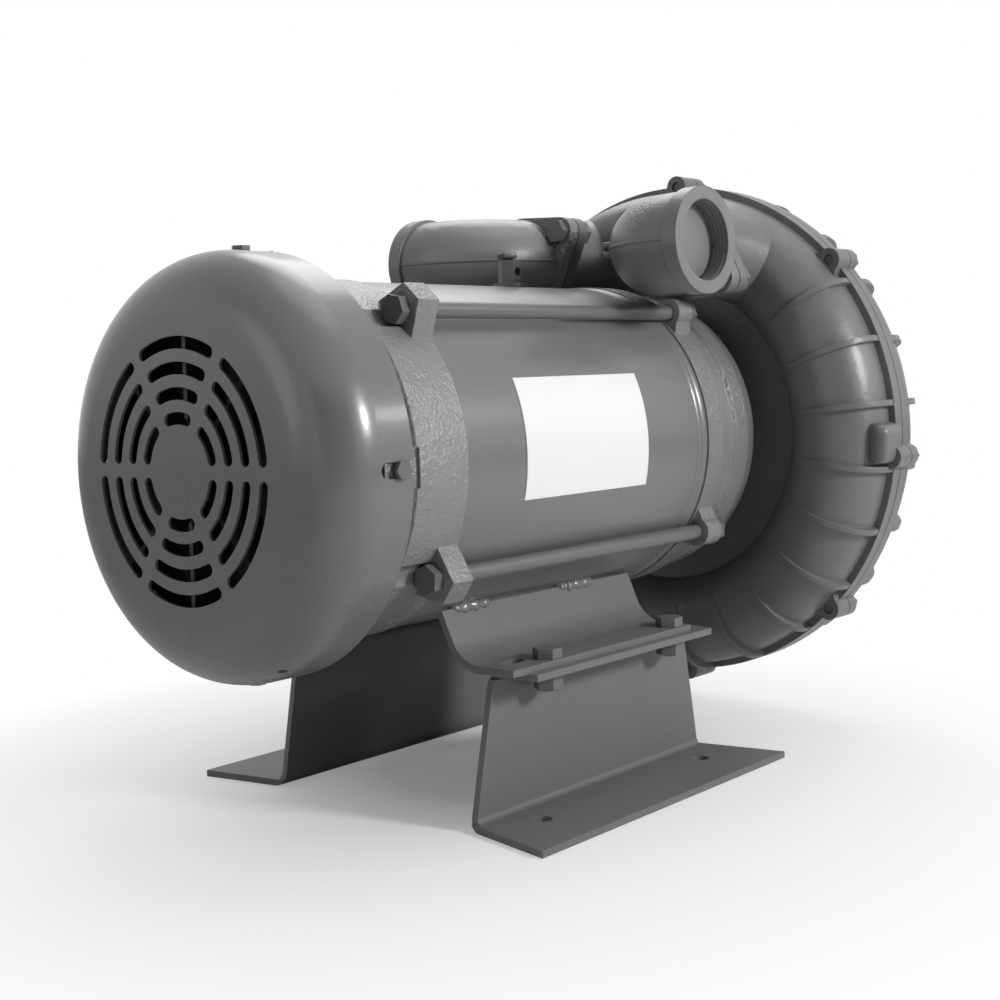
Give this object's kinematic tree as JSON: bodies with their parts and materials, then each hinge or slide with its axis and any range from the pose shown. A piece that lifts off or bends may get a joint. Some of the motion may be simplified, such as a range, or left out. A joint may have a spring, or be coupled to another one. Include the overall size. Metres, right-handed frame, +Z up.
{
  "type": "side channel blower",
  "caption": "Side channel blower: finned half-torus housing and cover, two elbow ports, fan cooled motor on folded steel stands.",
  "frame": {"origin": "floor level, centre of the four foot holes", "axes": "+X along the shaft from the fan end to the blower end, +Z up, -Y towards the near side with the label"},
  "size_m": [0.4468, 0.3246, 0.3448],
  "materials": {
    "cast_paint": "satin grey paint over rough sand casting",
    "sheet_paint": "semi-gloss grey paint over smooth steel",
    "painted_steel": "grey paint over fasteners",
    "bright_steel": "ground steel",
    "laminations": "stacked electrical steel",
    "copper_winding": "varnished copper wire",
    "cast_aluminium": "die cast aluminium",
    "black_plastic": "matte black moulding",
    "gasket_paper": "dark gasket sheet",
    "seal_rubber": "black rubber",
    "label_film": "bare pale film",
    "board_plastic": "brown terminal board"
  },
  "bodies": {
    "machine": {"blower_cover": "cast_paint", "blower_housing": "cast_paint", "conduit_box": "sheet_paint", "conduit_cover": "sheet_paint", "conduit_screws": "painted_steel", "cover_gasket": "gasket_paper", "elbow_bolts": "painted_steel", "elbow_far": "cast_paint", "elbow_gaskets": "gasket_paper", "elbow_near": "cast_paint", "elbow_nuts": "painted_steel", "fan_guard": "sheet_paint", "front_bearing_outer_ring": "bright_steel", "front_end_bell": "cast_paint", "guard_screws": "painted_steel", "motor_shell": "sheet_paint", "mount_bolts": "painted_steel", "rating_label": "label_film", "rear_bearing_outer_ring": "bright_steel", "rear_end_bell": "cast_paint", "rim_bolts": "painted_steel", "saddle_bolts": "painted_steel", "saddle_far": "sheet_paint", "saddle_near": "sheet_paint", "saddle_nuts": "painted_steel", "saddle_washers": "painted_steel", "shaft_seal": "seal_rubber", "shell_plug": "sheet_paint", "stand_far": "sheet_paint", "stand_near": "sheet_paint", "stator_core": "laminations", "stator_windings": "copper_winding", "terminal_board": "board_plastic", "tie_rod_nuts": "painted_steel", "tie_rods": "painted_steel", "wave_spring": "bright_steel"},
    "rotor": {"shaft": "bright_steel", "rotor_core": "laminations", "rotor_end_rings": "cast_aluminium", "cooling_fan": "black_plastic", "impeller": "cast_aluminium", "impeller_key": "bright_steel", "impeller_washer": "painted_steel", "impeller_bolt": "painted_steel", "shaft_sleeve": "bright_steel", "rear_bearing_inner_ring": "bright_steel", "front_bearing_inner_ring": "bright_steel"},
    "rear_ball_cage": {"rear_bearing_balls": "bright_steel"},
    "front_ball_cage": {"front_bearing_balls": "bright_steel"}
  },
  "joints": [
    {"name": "rotor_spin", "type": "hinge", "parent": "machine", "child": "rotor", "pos_m": [0, 0, 0.182], "axis": [1, 0, 0], "continuous": true},
    {"name": "rear_cage_spin", "type": "hinge", "parent": "machine", "child": "rear_ball_cage", "pos_m": [-0.142, 0, 0.182], "axis": [1, 0, 0], "continuous": true},
    {"name": "front_cage_spin", "type": "hinge", "parent": "machine", "child": "front_ball_cage", "pos_m": [0.1195, 0, 0.182], "axis": [1, 0, 0], "continuous": true}
  ],
  "couplings": [
    {"joint": "rear_cage_spin", "follows": "rotor_spin", "ratio": 0.3807},
    {"joint": "front_cage_spin", "follows": "rotor_spin", "ratio": 0.3909}
  ]
}
